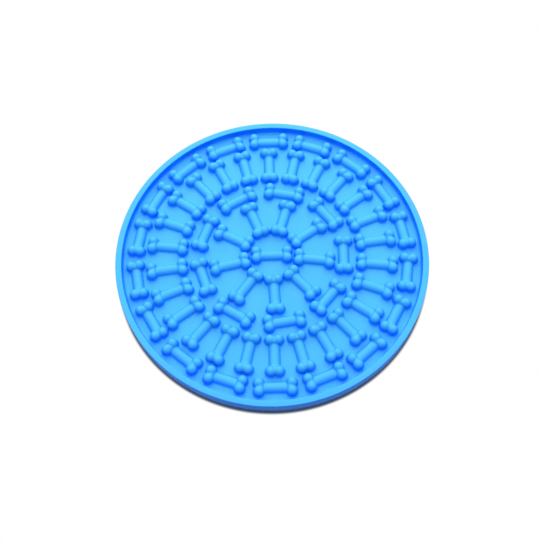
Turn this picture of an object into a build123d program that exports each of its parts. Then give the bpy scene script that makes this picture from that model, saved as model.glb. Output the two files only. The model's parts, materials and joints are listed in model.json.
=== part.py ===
from build123d import *
import os
from math import acos, atan2, cos, degrees, hypot, radians, sin, sqrt

# Round moulded silicone lick mat. A shallow tray holds rings of bone-shaped bumps on its floor and
# stands on suction cups under it. Millimetres, +Z up, origin on the ground below the middle of the mat.

# One bone: two pairs of tapered knobs with domed tops, each pair filled in by a web on the side of the low
# rounded shaft that joins them
knob_base_radius = 3.6
knob_dome_radius = 3.35
knob_height = 5.5
knob_spread = 19.8  # from pair to pair, along the bone
knob_pitch = 5.05  # from knob to knob within a pair
web_width = 4.4  # along the bone
web_height = 4.6
web_offset = 1.25  # from the knobs towards the middle of the bone
shaft_width = 7.0
shaft_height = 3.2

# Rings of bones from the centre outwards: how many, the angle of the first one, and how far each bone is
# turned from its spoke
inner_spoke_count = 9
inner_spoke_angle = -87.65
inner_spoke_turn = 0
inner_ring_count = 9
inner_ring_angle = -1.7
inner_ring_turn = 90
outer_spoke_count = 26
outer_spoke_angle = 90
outer_spoke_turn = 0
outer_ring_count = 18
outer_ring_angle = 90
outer_ring_turn = 90

# Clear gaps that the knobs leave
neighbour_gap = 0.1  # between neighbours in one ring
inner_spoke_gap = 0.2  # outside the centre bone
inner_ring_gap = 0.1  # outside the inner spokes
outer_spoke_gap = 0.83  # outside the inner ring
outer_ring_gap = 0.36  # outside the outer spokes
rim_gap = 2.37  # between the outer ring and the rim

# Tray
floor_thickness = 2.0
recess_depth = 5.5  # from the top of the rim down to the floor
rim_width = 3.9
rim_round = 0.5
rim_foot_round = 0.5
rim_lift = 3.5  # clear height under the rim's foot

# Suction cups: one in the middle and two rings round it
cup_radius = 10.0
cup_height = 6.0
cup_neck_radius = 4.5
cup_neck_length = 1.5
cup_lip_width = 1.2
cup_lip_thickness = 0.6
cup_hollow_depth = 2.8
cup_edge_gap = 12.0  # from the outer cups to the rim
inner_cup_count = 6
outer_cup_count = 12

half_spread = knob_spread / 2
half_pitch = knob_pitch / 2
web_place = half_spread - web_offset
dome_centre = knob_height - knob_dome_radius
flank_lean = degrees(
    acos(knob_dome_radius / hypot(knob_base_radius, dome_centre)) - atan2(dome_centre, knob_base_radius)
)
floor_bottom = cup_height
floor_top = floor_bottom + floor_thickness
rim_top = floor_top + recess_depth


def knob_places(turn):
    """Knob centres of a bone, along its spoke and across it, when the bone is turned from the spoke."""
    c, s = cos(radians(turn)), sin(radians(turn))
    straight = [(x, y) for x in (-half_spread, half_spread) for y in (-half_pitch, half_pitch)]
    return [(x * c - y * s, x * s + y * c) for x, y in straight]


def ring_radius(count, turn, inside, gap):
    """Radius at the middle of bones whose knobs clear their neighbours and all that reaches to inside."""
    half_step = radians(180 / count)
    half_clear = knob_base_radius + neighbour_gap / 2
    knobs = knob_places(turn)
    apart = [(half_clear + abs(v) * cos(half_step)) / sin(half_step) - u for u, v in knobs]
    beyond = [sqrt((inside + gap + knob_base_radius) ** 2 - v**2) - u for u, v in knobs]
    return max(apart + beyond)


def ring_reach(radius, turn):
    """Radius that the knobs of a ring reach to."""
    return max(hypot(radius + u, v) for u, v in knob_places(turn)) + knob_base_radius


# Each ring of bones stands just outside the one before it, and the rim outside the last
centre_reach = ring_reach(0, 0)
inner_spoke_radius = ring_radius(inner_spoke_count, inner_spoke_turn, centre_reach, inner_spoke_gap)
inner_spoke_reach = ring_reach(inner_spoke_radius, inner_spoke_turn)
inner_ring_radius = ring_radius(inner_ring_count, inner_ring_turn, inner_spoke_reach, inner_ring_gap)
inner_ring_reach = ring_reach(inner_ring_radius, inner_ring_turn)
outer_spoke_radius = ring_radius(outer_spoke_count, outer_spoke_turn, inner_ring_reach, outer_spoke_gap)
outer_spoke_reach = ring_reach(outer_spoke_radius, outer_spoke_turn)
outer_ring_radius = ring_radius(outer_ring_count, outer_ring_turn, outer_spoke_reach, outer_ring_gap)
rim_inner_radius = ring_reach(outer_ring_radius, outer_ring_turn) + rim_gap
rim_middle_radius = rim_inner_radius + rim_width / 2
outer_cup_ring_radius = rim_inner_radius - cup_edge_gap - cup_radius
inner_cup_ring_radius = outer_cup_ring_radius / 2


def seat(radius, angle, turn, height):
    """Plane that a repeated piece stands on: its X axis is turned by turn from the spoke at angle."""
    spoke = Vector(1, 0, 0).rotate(Axis.Z, angle)
    along = spoke.rotate(Axis.Z, turn)
    return Plane(origin=spoke * radius + Vector(0, 0, height), x_dir=along, z_dir=(0, 0, 1))


def ring_of_seats(radius, count, first_angle, turn, height):
    """Seats spaced evenly round the mat."""
    return [seat(radius, first_angle + i * 360 / count, turn, height) for i in range(count)]


def save(piece, name):
    """Label a finished piece and write its STEP file."""
    piece.part.label = name
    export_step(piece.part, f"parts/{name}.step")


def save_ring(shape, name, seats):
    """Write one copy of a shape on each of the seats, numbered from 1."""
    digits = len(str(len(seats)))
    for number, place in enumerate(seats, start=1):
        with BuildPart(place) as copy:
            add(shape.part)
        save(copy, f"{name}_{number:0{digits}}")


os.makedirs("parts", exist_ok=True)

# Floor of the tray
with BuildPart(Plane.XY.offset(floor_bottom)) as mat_floor:
    Cylinder(rim_inner_radius, floor_thickness, align=(Align.CENTER, Align.CENTER, Align.MIN))
save(mat_floor, "mat_floor")

# Rim: the wall round the floor, which reaches up level with the knobs and down as a skirt
with BuildPart() as rim:
    with BuildSketch(Plane.XZ):
        with Locations((rim_middle_radius, rim_lift)):
            Rectangle(rim_width, rim_top - rim_lift, align=(Align.CENTER, Align.MIN))
    revolve(axis=Axis.Z)
    rim_edges = rim.edges().filter_by(GeomType.CIRCLE).group_by(Axis.Z)
    fillet(rim_edges[-1], radius=rim_round)
    fillet(rim_edges[0], radius=rim_foot_round)
save(rim, "rim")

# Knob: a leaning flank that runs into a dome
with BuildPart() as knob:
    with BuildSketch(Plane.XZ):
        with BuildLine():
            dome = CenterArc((0, dome_centre), knob_dome_radius, flank_lean, 90 - flank_lean)
            Polyline(dome @ 1, (0, 0), (knob_base_radius, 0), dome @ 0)
        make_face()
    revolve(axis=Axis.Z)

# Bone, standing on the XY plane with its length along X
with BuildPart() as bone:
    with BuildSketch(Plane.YZ):
        Ellipse(shaft_width / 2, shaft_height)
    extrude(amount=half_spread, both=True)
    with BuildSketch(Plane.XZ):
        with Locations((web_place, 0), (-web_place, 0)):
            Ellipse(web_width / 2, web_height)
    extrude(amount=half_pitch, both=True)
    split(bisect_by=Plane.XY)
    with GridLocations(knob_spread, knob_pitch, 2, 2):
        add(knob.part)

# Centre bone and the rings of bones
with BuildPart(Plane.XY.offset(floor_top)) as centre_bone:
    add(bone.part)
save(centre_bone, "centre_bone")

save_ring(
    bone,
    "inner_spoke_bone",
    ring_of_seats(inner_spoke_radius, inner_spoke_count, inner_spoke_angle, inner_spoke_turn, floor_top),
)
save_ring(
    bone,
    "inner_ring_bone",
    ring_of_seats(inner_ring_radius, inner_ring_count, inner_ring_angle, inner_ring_turn, floor_top),
)
save_ring(
    bone,
    "outer_ring_bone",
    ring_of_seats(outer_ring_radius, outer_ring_count, outer_ring_angle, outer_ring_turn, floor_top),
)

# The outer spokes are one node of separate solids
with BuildPart(Plane.XY.offset(floor_top)) as outer_spoke_bones:
    with PolarLocations(outer_spoke_radius, outer_spoke_count, outer_spoke_angle):
        add(bone.part, rotation=(0, 0, outer_spoke_turn))
save(outer_spoke_bones, "outer_spoke_bones")

# Suction cup: a neck that widens into a bell with a flat lip
with BuildPart() as suction_cup:
    with BuildSketch(Plane.XZ):
        with BuildLine():
            Polyline(
                (0, cup_hollow_depth),
                (0, cup_height),
                (cup_neck_radius, cup_height),
                (cup_neck_radius, cup_height - cup_neck_length),
                (cup_radius, cup_lip_thickness),
                (cup_radius, 0),
                (cup_radius - cup_lip_width, 0),
            )
            TangentArc((0, cup_hollow_depth), (cup_radius - cup_lip_width, 0), tangent=(1, 0))
        make_face()
    revolve(axis=Axis.Z)

cup_seats = [seat(0, 0, 0, 0)]
cup_seats += ring_of_seats(inner_cup_ring_radius, inner_cup_count, 0, 0, 0)
cup_seats += ring_of_seats(outer_cup_ring_radius, outer_cup_count, 0, 0, 0)
save_ring(suction_cup, "suction_cup", cup_seats)
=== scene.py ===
"""Round moulded silicone lick mat, dressed around its packed construction.

The tray's floor and rim are turned profiles, one soft bone is repeated in rings by Geometry Nodes, and the
suction cups under the floor are turned too and repeated in rings. Lengths are in metres.
"""

import json
import logging
import math
from dataclasses import dataclass, field
from enum import Enum
from typing import Any

import bmesh
import bpy
from mathutils import Matrix, Vector

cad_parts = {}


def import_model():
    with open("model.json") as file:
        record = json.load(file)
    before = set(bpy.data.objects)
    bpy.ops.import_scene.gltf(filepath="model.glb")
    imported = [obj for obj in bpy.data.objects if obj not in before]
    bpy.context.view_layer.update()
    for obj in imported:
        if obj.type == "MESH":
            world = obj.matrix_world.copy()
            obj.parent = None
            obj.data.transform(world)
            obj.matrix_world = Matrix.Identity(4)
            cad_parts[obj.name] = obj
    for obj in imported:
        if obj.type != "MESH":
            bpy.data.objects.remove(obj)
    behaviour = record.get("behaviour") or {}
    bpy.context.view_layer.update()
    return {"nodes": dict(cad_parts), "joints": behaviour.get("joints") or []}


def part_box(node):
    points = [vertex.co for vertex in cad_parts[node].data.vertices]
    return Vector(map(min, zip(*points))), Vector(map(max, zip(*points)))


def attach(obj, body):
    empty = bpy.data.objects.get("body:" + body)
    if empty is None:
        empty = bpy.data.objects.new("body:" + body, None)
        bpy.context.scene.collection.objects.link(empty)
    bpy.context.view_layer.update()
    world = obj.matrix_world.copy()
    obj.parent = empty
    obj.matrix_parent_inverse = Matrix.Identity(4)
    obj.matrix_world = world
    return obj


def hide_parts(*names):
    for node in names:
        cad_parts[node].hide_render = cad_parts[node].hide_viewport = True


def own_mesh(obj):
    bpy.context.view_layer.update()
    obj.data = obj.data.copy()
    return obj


MM = 0.001
MAT_BODY = "mat"
CUP_BODY = "suction_cups"
SHARP_ANGLE = math.radians(50)
MERGE_DISTANCE = 0.001 * MM
WHITE = (1.0, 1.0, 1.0, 1.0)

# Sockets of a Mix node that is set to colours, which share their names with its other kinds
MIX_FIRST = 6
MIX_SECOND = 7
MIX_RESULT = 2

log = logging.getLogger("lick_mat")

Point = tuple[float, float]


class Lay(Enum):
    """How a bone lies in its ring, as its turn from the spoke that it stands on."""

    RADIAL = 0.0
    TANGENT = math.pi / 2


def linear_colour(code: str) -> tuple[float, float, float, float]:
    """Turn an sRGB hex colour into the linear colour that a shader takes.

    Args:
        code: Six hex digits, such as "5fc8fc".

    Returns:
        Linear red, green and blue, and an alpha of 1.
    """
    # The sRGB curve: a straight foot, and a power above it
    channels = (int(code[i : i + 2], 16) / 255 for i in (0, 2, 4))
    linear = (c / 12.92 if c <= 0.04045 else ((c + 0.055) / 1.055) ** 2.4 for c in channels)
    return (*linear, 1.0)


def add_node(
    tree: bpy.types.NodeTree, kind: str, inputs: dict[Any, Any] | None = None, **settings: Any
) -> bpy.types.Node:
    """Add a node, set its properties, and fill its inputs with values or from other nodes.

    Args:
        tree: The node tree that takes the node.
        kind: Blender's name for the kind of node.
        inputs: For each input's name or number, a value or the output socket to link to it.
        **settings: Properties of the node.

    Returns:
        The new node.
    """
    node = tree.nodes.new(kind)
    for name, value in settings.items():
        setattr(node, name, value)
    for name, value in (inputs or {}).items():
        if isinstance(value, bpy.types.NodeSocket):
            tree.links.new(value, node.inputs[name])
        else:
            node.inputs[name].default_value = value
    return node


def add_object(name: str, mesh: bpy.types.Mesh) -> bpy.types.Object:
    """Put a mesh into the scene as an object at the origin.

    Args:
        name: The piece's name.
        mesh: Its mesh, in place.

    Returns:
        The new object.
    """
    piece = bpy.data.objects.new(name, mesh)
    bpy.context.scene.collection.objects.link(piece)
    return piece


def evaluated_mesh(piece: bpy.types.Object) -> bpy.types.Mesh:
    """Give a plain mesh of an object with its modifiers applied.

    Args:
        piece: The object with modifiers.

    Returns:
        A new mesh that depends on nothing.
    """
    graph = bpy.context.evaluated_depsgraph_get()
    return bpy.data.meshes.new_from_object(piece.evaluated_get(graph), depsgraph=graph)


def shade_smooth(mesh: bpy.types.Mesh) -> None:
    """Shade a mesh smooth, apart from its sharp edges."""
    mesh.polygons.foreach_set("use_smooth", [True] * len(mesh.polygons))
    mesh.set_sharp_from_angle(angle=SHARP_ANGLE)


def rounded_outline(corners: list[tuple[float, float, float]], steps: int) -> list[Point]:
    """Round the corners of an outline with arcs.

    Args:
        corners: Radius from the axis, height, and the corner's own rounding, for each corner.
        steps: Straight pieces in each arc.

    Returns:
        The points of the outline, as radius and height.
    """
    points: list[Point] = []
    for i, (x, z, rounding) in enumerate(corners):
        here = Vector((x, z))
        if rounding == 0:
            points.append((x, z))
            continue
        before = (Vector(corners[i - 1][:2]) - here).normalized()
        after = (Vector(corners[(i + 1) % len(corners)][:2]) - here).normalized()
        half = before.angle(after) / 2
        centre = here + (before + after).normalized() * (rounding / math.sin(half))
        first = here + before * (rounding / math.tan(half)) - centre
        last = here + after * (rounding / math.tan(half)) - centre
        sweep = first.angle_signed(last)
        for k in range(steps + 1):
            turn = Matrix.Rotation(-sweep * k / steps, 2)
            points.append(tuple(centre + turn @ first))
    return points


def turned_mesh(name: str, outline: list[Point], sides: int) -> bpy.types.Mesh:
    """Turn a closed outline round the Z axis into a closed mesh.

    Args:
        name: The mesh's name.
        outline: Points as radius and height. Those on the axis become single points.
        sides: Faces round the axis.

    Returns:
        The turned mesh, smooth and facing outwards.
    """
    shape = bmesh.new()
    rings = []
    for radius, height in outline:
        if radius == 0:
            rings.append([shape.verts.new((0, 0, height))] * sides)
            continue
        angles = (2 * math.pi * k / sides for k in range(sides))
        places = ((radius * math.cos(a), radius * math.sin(a), height) for a in angles)
        rings.append([shape.verts.new(place) for place in places])
    for low, high in zip(rings, rings[1:] + rings[:1]):
        for k in range(sides):
            corners = [low[k], low[k - 1], high[k - 1], high[k]]
            face = list(dict.fromkeys(corners))
            if len(face) > 2:
                shape.faces.new(face)
    bmesh.ops.remove_doubles(shape, verts=shape.verts, dist=MERGE_DISTANCE)
    bmesh.ops.recalc_face_normals(shape, faces=shape.faces)
    mesh = bpy.data.meshes.new(name)
    shape.to_mesh(mesh)
    shape.free()
    shade_smooth(mesh)
    return mesh


def node_names(stem: str, nodes: dict[str, bpy.types.Object]) -> list[str]:
    """List the construction's nodes whose names start with a stem, in order."""
    return sorted(name for name in nodes if name.startswith(stem))


def node_middle(node: str) -> Vector:
    """Give the middle of a node's box, at Z = 0."""
    low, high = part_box(node)
    return ((low + high) / 2).to_2d().to_3d()


def ring_tree() -> bpy.types.NodeTree:
    """Build the Geometry Nodes tree that stands copies of a shape in a ring round the Z axis.

    Returns:
        The tree, with inputs for the count, the radius, the first copy's angle and each copy's own turn.
    """
    tree = bpy.data.node_groups.new("ring_of_copies", "GeometryNodeTree")
    tree.is_modifier = True
    sockets = {
        "Shape": "NodeSocketGeometry",
        "Count": "NodeSocketInt",
        "Radius": "NodeSocketFloat",
        "First angle": "NodeSocketFloat",
        "Turn": "NodeSocketFloat",
        "Finish": "NodeSocketMaterial",
    }
    for name, kind in sockets.items():
        tree.interface.new_socket(name, in_out="INPUT", socket_type=kind)
    tree.interface.new_socket("Ring", in_out="OUTPUT", socket_type="NodeSocketGeometry")
    given = add_node(tree, "NodeGroupInput").outputs
    index = add_node(tree, "GeometryNodeInputIndex").outputs[0]
    step = add_node(tree, "ShaderNodeMath", {0: 2 * math.pi, 1: given["Count"]}, operation="DIVIDE")
    angle = add_node(
        tree,
        "ShaderNodeMath",
        {0: index, 1: step.outputs[0], 2: given["First angle"]},
        operation="MULTIPLY_ADD",
    )
    facing = add_node(tree, "ShaderNodeMath", {0: angle.outputs[0], 1: given["Turn"]})
    spoke = add_node(tree, "ShaderNodeCombineXYZ", {"X": given["Radius"]})
    place = add_node(
        tree,
        "ShaderNodeVectorRotate",
        {"Vector": spoke.outputs[0], "Angle": angle.outputs[0]},
        rotation_type="Z_AXIS",
    )
    points = add_node(
        tree, "GeometryNodePoints", {"Count": given["Count"], "Position": place.outputs[0]}
    )
    turned = add_node(tree, "ShaderNodeCombineXYZ", {"Z": facing.outputs[0]})
    rotation = add_node(tree, "FunctionNodeEulerToRotation", {0: turned.outputs[0]})
    copies = add_node(
        tree,
        "GeometryNodeInstanceOnPoints",
        {"Points": points.outputs[0], "Instance": given["Shape"], "Rotation": rotation.outputs[0]},
    )
    real = add_node(tree, "GeometryNodeRealizeInstances", {0: copies.outputs[0]})
    dressed = add_node(
        tree, "GeometryNodeSetMaterial", {"Geometry": real.outputs[0], "Material": given["Finish"]}
    )
    add_node(tree, "NodeGroupOutput", {0: dressed.outputs[0]})
    return tree


@dataclass(frozen=True)
class MouldedSilicone:
    """Moulded silicone rubber, pigmented blue.

    It is matt to satin from the mould's fine grit. Steep sides are given a deeper blue than flat faces:
    this is painted shade, standing in for the shade on sides that lean away from the light.
    """

    name: str = "moulded_silicone_blue"
    flat_colour: str = "5dd3ff"
    drift_colour: str = "57cbff"
    # Painted shade: faces steeper than the slope bounds below take this deeper blue
    painted_shade_colour: str = "0e98ff"
    shade_start_slope: float = 0.98
    full_shade_slope: float = 0.25
    roughness: float = 0.55
    roughness_drift: float = 0.08
    ior: float = 1.41
    specular_level: float = 0.3
    drift_size: float = 16 * MM
    drift_detail: float = 3.0
    grit_size: float = 0.7 * MM
    grit_detail: float = 2.0
    grit_height: float = 0.02 * MM

    def colour(self, tree: bpy.types.NodeTree, drift: bpy.types.NodeSocket) -> bpy.types.NodeSocket:
        """Mix the flat colours with a deeper blue painted shade on steep faces, by how far the surface
        leans from level.

        Args:
            tree: The material's node tree.
            drift: A slow pattern from 0 to 1.

        Returns:
            The colour's output socket.
        """
        flat = add_node(
            tree,
            "ShaderNodeMix",
            {
                "Factor": drift,
                MIX_FIRST: linear_colour(self.flat_colour),
                MIX_SECOND: linear_colour(self.drift_colour),
            },
            data_type="RGBA",
        )
        normal = add_node(tree, "ShaderNodeNewGeometry").outputs["Normal"]
        upward = add_node(tree, "ShaderNodeSeparateXYZ", {0: normal}).outputs["Z"]
        level = add_node(tree, "ShaderNodeMath", {0: upward}, operation="ABSOLUTE")
        # Painted shade: the further a face leans from level, the more it takes the deep blue colour
        painted_shade = add_node(
            tree,
            "ShaderNodeMapRange",
            {"Value": level.outputs[0], "From Min": self.shade_start_slope, "From Max": self.full_shade_slope},
        )
        mixed = add_node(
            tree,
            "ShaderNodeMix",
            {
                "Factor": painted_shade.outputs[0],
                MIX_FIRST: flat.outputs[MIX_RESULT],
                MIX_SECOND: linear_colour(self.painted_shade_colour),
            },
            data_type="RGBA",
        )
        return mixed.outputs[MIX_RESULT]

    def material(self) -> bpy.types.Material:
        """Build the material.

        Returns:
            A node material on Object coordinates.
        """
        made = bpy.data.materials.new(self.name)
        made.use_nodes = True
        tree = made.node_tree
        tree.nodes.clear()
        place = add_node(tree, "ShaderNodeTexCoord").outputs["Object"]
        drift = add_node(
            tree,
            "ShaderNodeTexNoise",
            {"Vector": place, "Scale": 1 / self.drift_size, "Detail": self.drift_detail},
        ).outputs["Fac"]
        satin = add_node(
            tree,
            "ShaderNodeMapRange",
            {
                "Value": drift,
                "To Min": self.roughness - self.roughness_drift,
                "To Max": self.roughness + self.roughness_drift,
            },
        )
        grit = add_node(
            tree,
            "ShaderNodeTexNoise",
            {"Vector": place, "Scale": 1 / self.grit_size, "Detail": self.grit_detail},
        )
        # The mould's grit is finer than a pixel, so it is drawn coarser than it is
        bump = add_node(
            tree,
            "ShaderNodeBump",
            {"Strength": 1.0, "Distance": self.grit_height, "Height": grit.outputs["Fac"]},
        )
        shader = add_node(
            tree,
            "ShaderNodeBsdfPrincipled",
            {
                "Base Color": self.colour(tree, drift),
                "Roughness": satin.outputs[0],
                "IOR": self.ior,
                "Specular IOR Level": self.specular_level,
                "Normal": bump.outputs[0],
            },
        )
        add_node(tree, "ShaderNodeOutputMaterial", {"Surface": shader.outputs[0]})
        return made


@dataclass
class Tray:
    """The floor of the mat and the rim round it."""

    finish: bpy.types.Material
    edge_round: float = 0.45 * MM
    foot_round: float = 0.5 * MM
    cove_radius: float = 2.0 * MM
    seat_overlap: float = 0.5 * MM
    toe_depth: float = 0.1 * MM
    sides: int = 360
    arc_steps: int = 8

    def rim_outline(self) -> list[Point]:
        """Give the rim's section: rounded edges above, and a cove where its inner face meets the floor.

        Returns:
            Points as radius and height.
        """
        low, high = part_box("rim")
        floor_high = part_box("mat_floor")[1]
        outer, inner = high.x, floor_high.x
        cove = inner - self.cove_radius
        toe = floor_high.z - self.toe_depth
        corners = [
            (outer, low.z, self.foot_round),
            (outer, high.z, self.edge_round),
            (inner, high.z, self.edge_round),
            (inner, floor_high.z, self.cove_radius),
            (cove, floor_high.z, 0.0),
            (cove, toe, 0.0),
            (inner, toe, 0.0),
            (inner, low.z, self.foot_round),
        ]
        return rounded_outline(corners, self.arc_steps)

    def floor_outline(self) -> list[Point]:
        """Give the floor's section, whose edge runs a little way into the rim.

        Returns:
            Points as radius and height.
        """
        low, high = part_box("mat_floor")
        edge = high.x + self.seat_overlap
        return [(0.0, low.z), (edge, low.z), (edge, high.z), (0.0, high.z)]

    def build(self) -> list[bpy.types.Object]:
        """Build the floor and the rim and put them on the mat's body.

        Returns:
            The two pieces.
        """
        pieces = []
        for node, outline in (("mat_floor", self.floor_outline()), ("rim", self.rim_outline())):
            mesh = turned_mesh(f"{node}_moulded", outline, self.sides)
            mesh.materials.append(self.finish)
            piece = add_object(f"{node}_moulded", mesh)
            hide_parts(node)
            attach(piece, MAT_BODY)
            pieces.append(piece)
        return pieces


@dataclass
class BoneShape:
    """One bone-shaped bump: two pairs of knobs, a web in each and a low shaft, all run together."""

    base_radius: float = 3.6 * MM
    dome_radius: float = 3.35 * MM
    web_width: float = 4.4 * MM
    web_height: float = 4.6 * MM
    web_offset: float = 1.25 * MM
    shaft_width: float = 7.0 * MM
    shaft_height: float = 3.2 * MM
    sink: float = 0.4 * MM
    slab_margin: float = 3.0 * MM
    slab_depth: float = 1.5 * MM
    toe_height: float = 0.05 * MM
    voxel: float = 0.48 * MM
    smooth_passes: int = 2
    smooth_share: float = 0.5
    sides: int = 48
    arc_steps: int = 10

    def knob_outline(self, height: float) -> list[Point]:
        """Give a knob's section: a leaning flank that runs into a dome.

        Args:
            height: The knob's height above the floor.

        Returns:
            Points as radius and height, from the axis below the floor to the top of the dome.
        """
        foot = -self.slab_depth / 2
        centre = height - self.dome_radius
        reach = math.hypot(self.base_radius, centre)
        lean = math.acos(self.dome_radius / reach) - math.atan2(centre, self.base_radius)
        points = [(0.0, foot), (self.base_radius, foot), (self.base_radius, 0.0)]
        for k in range(self.arc_steps):
            a = lean + (math.pi / 2 - lean) * k / self.arc_steps
            points.append((self.dome_radius * math.cos(a), centre + self.dome_radius * math.sin(a)))
        return [*points, (0.0, height)]

    def rough_mesh(self, size: Vector) -> bpy.types.Mesh:
        """Put the knobs, webs, shaft and a slab of floor together, still as shells that overlap.

        Args:
            size: The bone's length, width and height.

        Returns:
            The rough mesh, standing on Z = 0.
        """
        shape = bmesh.new()
        spread, pitch = size.x - 2 * self.base_radius, size.y - 2 * self.base_radius
        knob = turned_mesh("knob", self.knob_outline(size.z), self.sides)
        for x in (-1, 1):
            for y in (-1, 1):
                copy = knob.copy()
                copy.transform(Matrix.Translation((x * spread / 2, y * pitch / 2, 0)))
                shape.from_mesh(copy)
        lengthwise = Matrix.Rotation(math.pi / 2, 4, "Y")
        across = Matrix.Rotation(math.pi / 2, 4, "X")
        web = across @ Matrix.Diagonal((self.web_width / 2, self.web_height, pitch, 1.0))
        web_place = spread / 2 - self.web_offset
        rods = [lengthwise @ Matrix.Diagonal((self.shaft_height, self.shaft_width / 2, spread, 1.0))]
        rods += [Matrix.Translation((x * web_place, 0, 0)) @ web for x in (-1, 1)]
        for rod in rods:
            bmesh.ops.create_cone(
                shape, cap_ends=True, segments=self.sides, radius1=1.0, radius2=1.0, depth=1.0, matrix=rod
            )
        slab = Vector((size.x / 2, size.y / 2, self.slab_depth / 2)) + self.slab_margin * Vector((1, 1, 0))
        bmesh.ops.create_cube(
            shape,
            size=2.0,
            matrix=Matrix.Translation((0, 0, -slab.z)) @ Matrix.Diagonal((*slab, 1.0)),
        )
        mesh = bpy.data.meshes.new("bone_rough")
        shape.to_mesh(mesh)
        shape.free()
        return mesh

    def mesh(self, floor_top: float, size: Vector) -> bpy.types.Mesh:
        """Make the finished bone: shells run together, creases softened, and cut off at the floor.

        Args:
            floor_top: Height of the floor that the bone stands on.
            size: The bone's length, width and height.

        Returns:
            A closed mesh that lies along X and is sunk a little into the floor.
        """
        rough = add_object("bone_rough", self.rough_mesh(size))
        remesh = rough.modifiers.new("run_together", "REMESH")
        remesh.mode = "VOXEL"
        remesh.voxel_size = self.voxel
        soft = rough.modifiers.new("soften", "SMOOTH")
        soft.factor = self.smooth_share
        soft.iterations = self.smooth_passes
        mesh = evaluated_mesh(rough)
        bpy.data.objects.remove(rough)
        shape = bmesh.new()
        shape.from_mesh(mesh)
        everything = [*shape.verts, *shape.edges, *shape.faces]
        bmesh.ops.bisect_plane(
            shape,
            geom=everything,
            plane_co=(0, 0, self.toe_height),
            plane_no=(0, 0, 1),
            clear_inner=True,
        )
        cut_edges = [e for e in shape.edges if e.is_boundary]
        skirt = bmesh.ops.extrude_edge_only(shape, edges=cut_edges)["geom"]
        for vert in (g for g in skirt if isinstance(g, bmesh.types.BMVert)):
            vert.co.z = -self.sink
        bmesh.ops.holes_fill(shape, edges=[e for e in shape.edges if e.is_boundary])
        bmesh.ops.recalc_face_normals(shape, faces=shape.faces)
        shape.transform(Matrix.Translation((0, 0, floor_top)))
        shape.to_mesh(mesh)
        shape.free()
        shade_smooth(mesh)
        return mesh


@dataclass
class Ring:
    """Copies of one shape in a ring, made by Geometry Nodes into a single plain mesh."""

    name: str
    count: int
    radius: float
    first_angle: float = 0.0
    lay: Lay = Lay.RADIAL

    def build(
        self, shape: bpy.types.Mesh, tree: bpy.types.NodeTree, finish: bpy.types.Material
    ) -> bpy.types.Object:
        """Build the ring.

        Args:
            shape: The shape to repeat, lying along X at the Z axis.
            tree: The Geometry Nodes tree from ring_tree.
            finish: The material that all copies take.

        Returns:
            The ring as one object with no modifiers.
        """
        piece = add_object(self.name, shape.copy())
        ring = piece.modifiers.new("ring", "NODES")
        ring.node_group = tree
        settings = {
            "Count": self.count,
            "Radius": self.radius,
            "First angle": self.first_angle,
            "Turn": self.lay.value,
            "Finish": finish,
        }
        for socket in tree.interface.items_tree:
            if socket.name in settings:
                ring[socket.identifier] = settings[socket.name]
        mesh = evaluated_mesh(piece)
        piece.modifiers.remove(ring)
        piece.data = mesh
        mesh.name = self.name
        shade_smooth(mesh)
        return piece


@dataclass
class Bones:
    """The centre bone and the four rings of bones round it."""

    finish: bpy.types.Material
    tree: bpy.types.NodeTree
    shape: BoneShape = field(default_factory=BoneShape)
    outer_spoke_count: int = 26
    outer_spoke_angle: float = math.pi / 2

    def rings(self, nodes: dict[str, bpy.types.Object]) -> dict[str, tuple[Ring, list[str]]]:
        """Work out the rings from where the construction's bones stand.

        Args:
            nodes: The construction's nodes by name.

        Returns:
            Each ring with the nodes that it stands for, by the ring's name.
        """
        found = {}
        stems = {
            "inner_spoke_bone": Lay.RADIAL,
            "inner_ring_bone": Lay.TANGENT,
            "outer_ring_bone": Lay.TANGENT,
        }
        for stem, lay in stems.items():
            names = node_names(stem, nodes)
            first = node_middle(names[0])
            angle = math.atan2(first.y, first.x)
            found[stem] = (Ring(f"{stem}s_moulded", len(names), first.length, angle, lay), names)
        half_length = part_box("centre_bone")[1].x
        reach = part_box("outer_spoke_bones")[1].y
        spokes = Ring(
            "outer_spoke_bones_moulded", self.outer_spoke_count, reach - half_length, self.outer_spoke_angle
        )
        found["outer_spoke_bones"] = (spokes, ["outer_spoke_bones"])
        found["centre_bone"] = (Ring("centre_bone_moulded", 1, 0.0), ["centre_bone"])
        return found

    def build(self, nodes: dict[str, bpy.types.Object]) -> list[bpy.types.Object]:
        """Build all bones and put them on the mat's body.

        Args:
            nodes: The construction's nodes by name.

        Returns:
            One piece for each ring.
        """
        low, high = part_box("centre_bone")
        mesh = self.shape.mesh(low.z, high - low)
        pieces = []
        for ring, names in self.rings(nodes).values():
            piece = ring.build(mesh, self.tree, self.finish)
            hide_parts(*names)
            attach(piece, MAT_BODY)
            pieces.append(piece)
        return pieces


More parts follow.
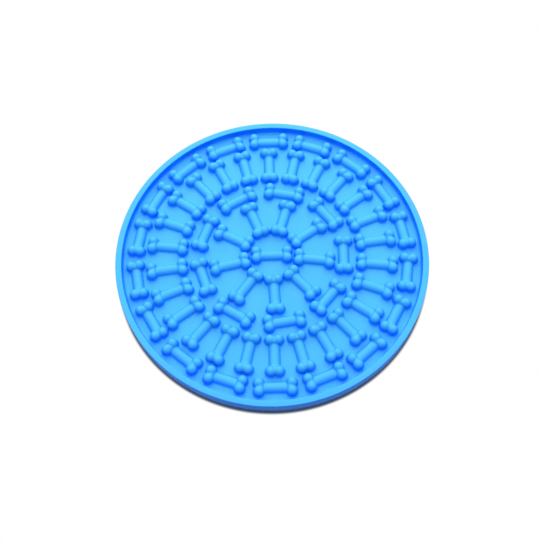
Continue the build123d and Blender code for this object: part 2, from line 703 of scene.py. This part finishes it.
@dataclass
class SuctionCups:
    """The cups under the floor: a middle one and two rings."""

    finish: bpy.types.Material
    tree: bpy.types.NodeTree
    neck_radius: float = 4.5 * MM
    neck_length: float = 1.5 * MM
    neck_sink: float = 0.2 * MM
    lip_width: float = 1.2 * MM
    lip_thickness: float = 0.6 * MM
    hollow_depth: float = 2.8 * MM
    lip_round: float = 0.2 * MM
    neck_round: float = 0.3 * MM
    hollow_steps: int = 8
    arc_steps: int = 4
    sides: int = 64
    inner_count: int = 6
    outer_count: int = 12

    def outline(self, radius: float, height: float) -> list[Point]:
        """Give a cup's section: a neck that widens into a bell with a flat lip.

        Args:
            radius: The lip's outer radius.
            height: The height of the floor that the neck joins.

        Returns:
            Points as radius and height, from the axis round to the axis.
        """
        mouth = radius - self.lip_width
        corners = [
            (0.0, height + self.neck_sink, 0.0),
            (self.neck_radius, height + self.neck_sink, 0.0),
            (self.neck_radius, height - self.neck_length, self.neck_round),
            (radius, self.lip_thickness, self.lip_round),
            (radius, 0.0, self.lip_round),
            (mouth, 0.0, 0.0),
        ]
        points = rounded_outline(corners, self.arc_steps)
        bend = (mouth**2 + self.hollow_depth**2) / (2 * self.hollow_depth)
        opening = math.asin(mouth / bend)
        for k in range(1, self.hollow_steps):
            a = opening * (1 - k / self.hollow_steps)
            points.append((bend * math.sin(a), self.hollow_depth - bend * (1 - math.cos(a))))
        return [*points, (0.0, self.hollow_depth)]

    def build(
        self, nodes: dict[str, bpy.types.Object], joints: list[dict[str, Any]]
    ) -> list[bpy.types.Object]:
        """Build the cups and put them on their body.

        Args:
            nodes: The construction's nodes by name.
            joints: The construction's joints; not used.

        Returns:
            One piece for the middle cup and one for each ring.
        """
        names = node_names("suction_cup", nodes)
        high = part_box(names[0])[1]
        shape = turned_mesh("suction_cup", self.outline(high.x, high.z), self.sides)
        inner_last = 1 + self.inner_count
        groups = {
            "middle_suction_cup": names[:1],
            "inner_suction_cups": names[1:inner_last],
            "outer_suction_cups": names[inner_last:],
        }
        pieces = []
        for name, members in groups.items():
            first = node_middle(members[0])
            ring = Ring(f"{name}_moulded", len(members), first.length, math.atan2(first.y, first.x))
            piece = ring.build(shape, self.tree, self.finish)
            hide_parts(*members)
            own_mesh(piece)
            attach(piece, CUP_BODY)
            pieces.append(piece)
        return pieces


@dataclass
class Studio:
    """A plain pale floor, soft studio light and the camera."""

    floor_half: float = 3.0
    paper_colour: str = "969696"
    # How far outside the rim the paper starts to show as plain white, and where it fully does
    white_from: float = 0.2 * MM
    white_to: float = 2.0 * MM
    dome_lean: float = math.radians(50)
    dome_low: float = -0.3
    dome_power: float = 1.5
    fill_colour: str = "88b8ff"
    fill_strength: float = 0.54
    key_colour: str = "ffffff"
    key_strength: float = 1.29
    softbox_colour: str = "d8e5ff"
    softbox_size: float = 0.5
    softbox_power: float = 1.1
    softbox_place: tuple[float, float, float] = (0.0, 0.3, 0.3)
    target: tuple[float, float, float] = (-1.34 * MM, -12.78 * MM, 14.2 * MM)
    azimuth: float = math.radians(0.72)
    elevation: float = math.radians(65.39)
    distance: float = 451.6 * MM
    roll: float = math.radians(-2.31)
    lens: float = 47.71
    sensor: float = 36.0

    def seen_from_outside(self, tree: bpy.types.NodeTree) -> bpy.types.NodeSocket:
        """Give a factor that is 1 for camera, glossy and transmission rays and 0 for light that bounces.

        Args:
            tree: The node tree that takes the nodes.

        Returns:
            The factor's output socket.
        """
        path = add_node(tree, "ShaderNodeLightPath").outputs
        pair = add_node(
            tree,
            "ShaderNodeMath",
            {0: path["Is Camera Ray"], 1: path["Is Glossy Ray"]},
            operation="MAXIMUM",
        )
        return add_node(
            tree,
            "ShaderNodeMath",
            {0: pair.outputs[0], 1: path["Is Transmission Ray"]},
            operation="MAXIMUM",
        ).outputs[0]

    def build_floor(self) -> None:
        """Lay pale paper that keeps the shadow at the mat's foot and shows plain white further out."""
        mesh = bpy.data.meshes.new("studio_floor")
        h = self.floor_half
        mesh.from_pydata([(-h, -h, 0), (h, -h, 0), (h, h, 0), (-h, h, 0)], [], [(0, 1, 2, 3)])
        paper = bpy.data.materials.new("pale_paper")
        paper.use_nodes = True
        tree = paper.node_tree
        tree.nodes.clear()
        place = add_node(tree, "ShaderNodeTexCoord").outputs["Object"]
        away = add_node(tree, "ShaderNodeVectorMath", {0: place}, operation="LENGTH").outputs["Value"]
        matt = add_node(tree, "ShaderNodeBsdfDiffuse", {"Color": linear_colour(self.paper_colour)})
        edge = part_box("rim")[1].x
        far = add_node(
            tree,
            "ShaderNodeMapRange",
            {"Value": away, "From Min": edge + self.white_from, "From Max": edge + self.white_to},
            interpolation_type="SMOOTHSTEP",
        )
        plain = add_node(
            tree,
            "ShaderNodeMath",
            {0: far.outputs[0], 1: self.seen_from_outside(tree)},
            operation="MULTIPLY",
        )
        white = add_node(tree, "ShaderNodeEmission", {"Color": WHITE})
        shown = add_node(
            tree, "ShaderNodeMixShader", {0: plain.outputs[0], 1: matt.outputs[0], 2: white.outputs[0]}
        )
        add_node(tree, "ShaderNodeOutputMaterial", {"Surface": shown.outputs[0]})
        mesh.materials.append(paper)
        add_object("studio_floor", mesh)

    def build_light(self) -> None:
        """Light the mat by a soft dome, white and brightest above and behind it and bluer all round."""
        world = bpy.data.worlds.new("studio")
        world.use_nodes = True
        bpy.context.scene.world = world
        tree = world.node_tree
        tree.nodes.clear()
        direction = add_node(tree, "ShaderNodeTexCoord").outputs["Generated"]
        middle = (0.0, math.sin(self.dome_lean), math.cos(self.dome_lean))
        towards = add_node(
            tree, "ShaderNodeVectorMath", {0: direction, 1: middle}, operation="DOT_PRODUCT"
        ).outputs["Value"]
        nearness = add_node(
            tree, "ShaderNodeMapRange", {"Value": towards, "From Min": self.dome_low, "From Max": 1.0}
        )
        share = add_node(
            tree, "ShaderNodeMath", {0: nearness.outputs[0], 1: self.dome_power}, operation="POWER"
        ).outputs[0]
        strength = add_node(
            tree,
            "ShaderNodeMapRange",
            {"Value": share, "To Min": self.fill_strength, "To Max": self.key_strength},
        )
        colour = add_node(
            tree,
            "ShaderNodeMix",
            {
                "Factor": share,
                MIX_FIRST: linear_colour(self.fill_colour),
                MIX_SECOND: linear_colour(self.key_colour),
            },
            data_type="RGBA",
        )
        dome = add_node(
            tree,
            "ShaderNodeBackground",
            {"Strength": strength.outputs[0], "Color": colour.outputs[MIX_RESULT]},
        )
        white = add_node(tree, "ShaderNodeBackground", {"Color": WHITE})
        both = add_node(
            tree,
            "ShaderNodeMixShader",
            {0: self.seen_from_outside(tree), 1: dome.outputs[0], 2: white.outputs[0]},
        )
        add_node(tree, "ShaderNodeOutputWorld", {"Surface": both.outputs[0]})

    def build_softbox(self) -> None:
        """Hang a softbox above and behind the mat, which lights its far side a little more."""
        data = bpy.data.lights.new("softbox", "AREA")
        data.color = linear_colour(self.softbox_colour)[:3]
        data.size = self.softbox_size
        data.energy = self.softbox_power
        lamp = bpy.data.objects.new("softbox", data)
        lamp.location = self.softbox_place
        lamp.rotation_euler = (-lamp.location).to_track_quat("-Z", "Y").to_euler()
        lamp.visible_camera = False
        bpy.context.scene.collection.objects.link(lamp)

    def build_camera(self) -> None:
        """Set the camera at the photograph's viewing angle."""
        scene = bpy.context.scene
        data = bpy.data.cameras.new("camera")
        data.lens = self.lens
        data.sensor_width = self.sensor
        camera = bpy.data.objects.new("camera", data)
        back = Vector(
            (
                math.sin(self.azimuth) * math.cos(self.elevation),
                -math.cos(self.azimuth) * math.cos(self.elevation),
                math.sin(self.elevation),
            )
        )
        level = (-back).to_track_quat("-Z", "Y").to_matrix().to_4x4()
        place = Matrix.Translation(Vector(self.target) + back * self.distance)
        camera.matrix_world = place @ level @ Matrix.Rotation(self.roll, 4, "Z")
        scene.collection.objects.link(camera)
        scene.camera = camera

    def build(self) -> None:
        """Build floor, light and camera, and show colours as they are."""
        self.build_floor()
        self.build_light()
        self.build_softbox()
        self.build_camera()
        bpy.context.scene.view_settings.view_transform = "Standard"


def main() -> None:
    """Load the construction, dress it and set up the studio."""
    logging.basicConfig(level=logging.INFO, format="%(message)s")
    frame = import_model()
    silicone = MouldedSilicone().material()
    tree = ring_tree()
    pieces = Tray(silicone).build()
    pieces += Bones(silicone, tree).build(frame["nodes"])
    pieces += SuctionCups(silicone, tree).build(frame["nodes"], frame["joints"])
    for piece in pieces:
        log.info("%s: %d faces", piece.name, len(piece.data.polygons))
    Studio().build()


if __name__ == "__main__":
    main()
